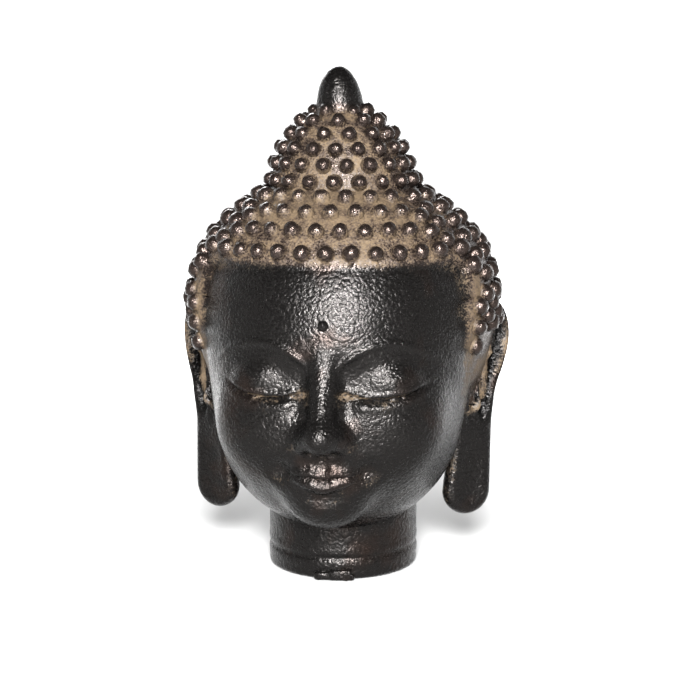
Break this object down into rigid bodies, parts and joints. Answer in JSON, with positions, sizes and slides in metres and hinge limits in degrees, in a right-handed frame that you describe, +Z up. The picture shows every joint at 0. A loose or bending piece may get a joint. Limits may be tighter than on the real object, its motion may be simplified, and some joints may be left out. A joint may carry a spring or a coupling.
{
  "type": "buddha head sculpture",
  "caption": "Cast iron buddha head with snail curls, topknot, long ears and a short flat-bottomed neck that it stands on.",
  "frame": {"origin": "centre of the neck's flat underside", "axes": "+Z up, the face looks along -Y, +X is the right side as seen from the front"},
  "size_m": [0.146, 0.162, 0.22],
  "materials": {
    "cast_iron": "as cast, near black and half gloss, with ochre dust in the hair and hollows"
  },
  "bodies": {
    "root": {"iron_head": "cast_iron"}
  },
  "joints": []
}
